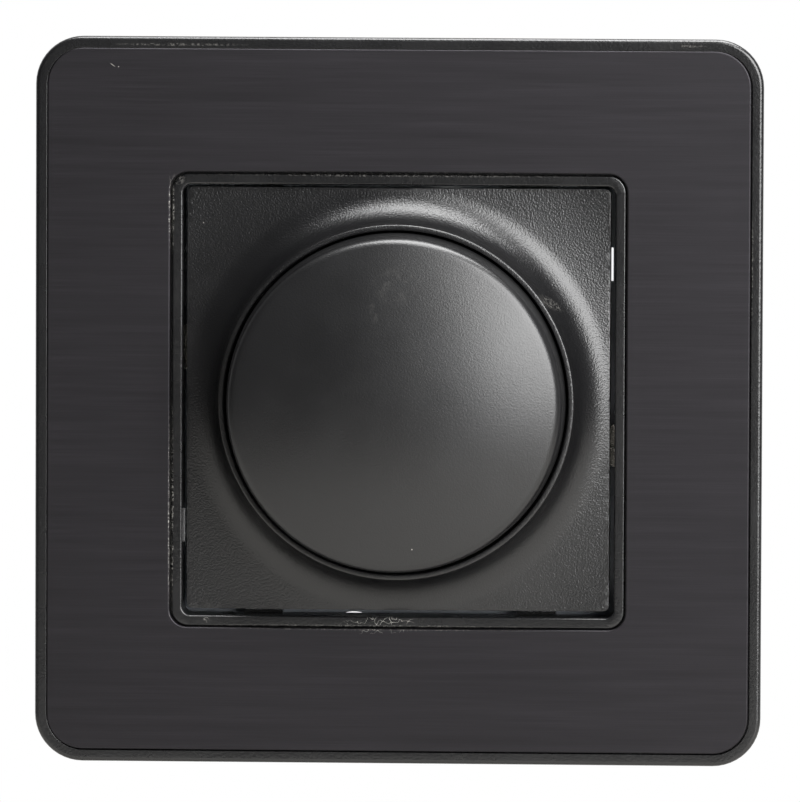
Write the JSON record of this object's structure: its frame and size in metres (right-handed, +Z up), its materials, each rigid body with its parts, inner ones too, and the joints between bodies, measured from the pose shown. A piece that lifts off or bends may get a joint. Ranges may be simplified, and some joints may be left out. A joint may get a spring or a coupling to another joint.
{
  "type": "rotary dimmer switch",
  "caption": "Flush wall dimmer: square black frame and metal plate, square cover with a flared collar, push-and-turn domed knob, steel fixing plate, insert and spreading claws.",
  "frame": {"origin": "middle of the steel fixing plate on its wall side, midway between the two box screws and on the axis of the knob", "axes": "+Y points into the wall along the knob's axis, +Z is up, +X is to the right as seen from the room"},
  "size_m": [0.0859, 0.0456, 0.0859],
  "materials": {
    "black_anodised_aluminium": "brushed, anodised black",
    "frame_plastic": "fine moulded texture",
    "cover_plastic": "spark-eroded moulded texture",
    "knob_plastic": "smooth satin",
    "spring_steel": "plain",
    "plated_steel": "nickel plated",
    "brass": "plain",
    "zinc_plated_steel": "zinc plated",
    "insert_plastic": "plain moulded",
    "light_plastic": "plain moulded",
    "carbon_track": "printed carbon on laminate",
    "board_laminate": "paper laminate",
    "component_plastic": "plain moulded",
    "bare_aluminium": "rolled",
    "ferrite": "sintered",
    "copper_wire": "enamelled copper",
    "capacitor_plastic": "moulded case",
    "clear_glass": "clear"
  },
  "bodies": {
    "insert_and_frame": {"trim_plate": "black_anodised_aluminium", "frame_carrier": "frame_plastic", "cover_plate": "cover_plastic", "potentiometer_bush": "brass", "retaining_nut": "brass", "yoke": "zinc_plated_steel", "housing_front": "insert_plastic", "housing_rear": "insert_plastic", "housing_screws": "plated_steel", "potentiometer_body": "insert_plastic", "potentiometer_pins": "brass", "resistive_track": "carbon_track", "switch_housing": "insert_plastic", "contact_blades": "brass", "switch_spring": "spring_steel", "circuit_board": "board_laminate", "triac": "component_plastic", "heat_sink": "bare_aluminium", "triac_rivet": "bare_aluminium", "choke_core": "ferrite", "choke_winding": "copper_wire", "film_capacitors": "capacitor_plastic", "resistors": "component_plastic", "diac": "component_plastic", "fuse_glass": "clear_glass", "fuse_caps": "plated_steel", "fuse_clips": "brass", "terminal_cages": "zinc_plated_steel", "terminal_screws": "plated_steel", "terminal_bars": "brass"},
    "rotor": {"wiper_rotor": "insert_plastic", "wiper_contact": "brass"},
    "knob_and_shaft": {"knob": "knob_plastic", "knob_spring_clip": "spring_steel", "control_shaft": "plated_steel"},
    "plunger": {"switch_plunger": "light_plastic", "contact_bridge": "brass"},
    "claw_right": {"claw_right": "zinc_plated_steel"},
    "claw_left": {"claw_left": "zinc_plated_steel"},
    "claw_screw_right": {"claw_screw_right": "plated_steel"},
    "claw_screw_left": {"claw_screw_left": "plated_steel"},
    "claw_nut_right": {"claw_nut_right": "zinc_plated_steel"},
    "claw_nut_left": {"claw_nut_left": "zinc_plated_steel"}
  },
  "joints": [
    {"name": "dimming_rotation", "type": "hinge", "parent": "insert_and_frame", "child": "rotor", "pos_m": [0, 0, 0], "axis": [0, 1, 0], "range_deg": [-135, 135]},
    {"name": "knob_push", "type": "slide", "parent": "rotor", "child": "knob_and_shaft", "axis": [0, 1, 0], "range_m": [0, 0.0015], "stiffness_N_per_m": 800, "springref_m": -0.003},
    {"name": "plunger_slide", "type": "slide", "parent": "insert_and_frame", "child": "plunger", "axis": [0, 1, 0], "range_m": [0, 0.0015], "deforming": ["switch_spring"]},
    {"name": "claw_right_swing", "type": "hinge", "parent": "insert_and_frame", "child": "claw_right", "pos_m": [0.0233, 0.0017, -0.0057], "axis": [0, 0, -1], "range_deg": [0, 25]},
    {"name": "claw_right_screw_turn", "type": "hinge", "parent": "insert_and_frame", "child": "claw_screw_right", "pos_m": [0.0262, 0, -0.0057], "axis": [0, 1, 0], "range_deg": [0, 360]},
    {"name": "claw_right_nut_travel", "type": "slide", "parent": "insert_and_frame", "child": "claw_nut_right", "axis": [0, -1, 0], "range_m": [0, 0.0005]},
    {"name": "claw_left_swing", "type": "hinge", "parent": "insert_and_frame", "child": "claw_left", "pos_m": [-0.0233, 0.0017, 0.0057], "axis": [0, 0, 1], "range_deg": [0, 25]},
    {"name": "claw_left_screw_turn", "type": "hinge", "parent": "insert_and_frame", "child": "claw_screw_left", "pos_m": [-0.0262, 0, 0.0057], "axis": [0, 1, 0], "range_deg": [0, 360]},
    {"name": "claw_left_nut_travel", "type": "slide", "parent": "insert_and_frame", "child": "claw_nut_left", "axis": [0, -1, 0], "range_m": [0, 0.0005]}
  ],
  "couplings": [
    {"joint": "plunger_slide", "follows": "knob_push", "ratio": 1},
    {"joint": "claw_right_screw_turn", "follows": "claw_right_swing", "ratio": 14.4},
    {"joint": "claw_right_nut_travel", "follows": "claw_right_swing", "m_per_rad": 0.0011459},
    {"joint": "claw_left_screw_turn", "follows": "claw_left_swing", "ratio": 14.4},
    {"joint": "claw_left_nut_travel", "follows": "claw_left_swing", "m_per_rad": 0.0011459}
  ]
}
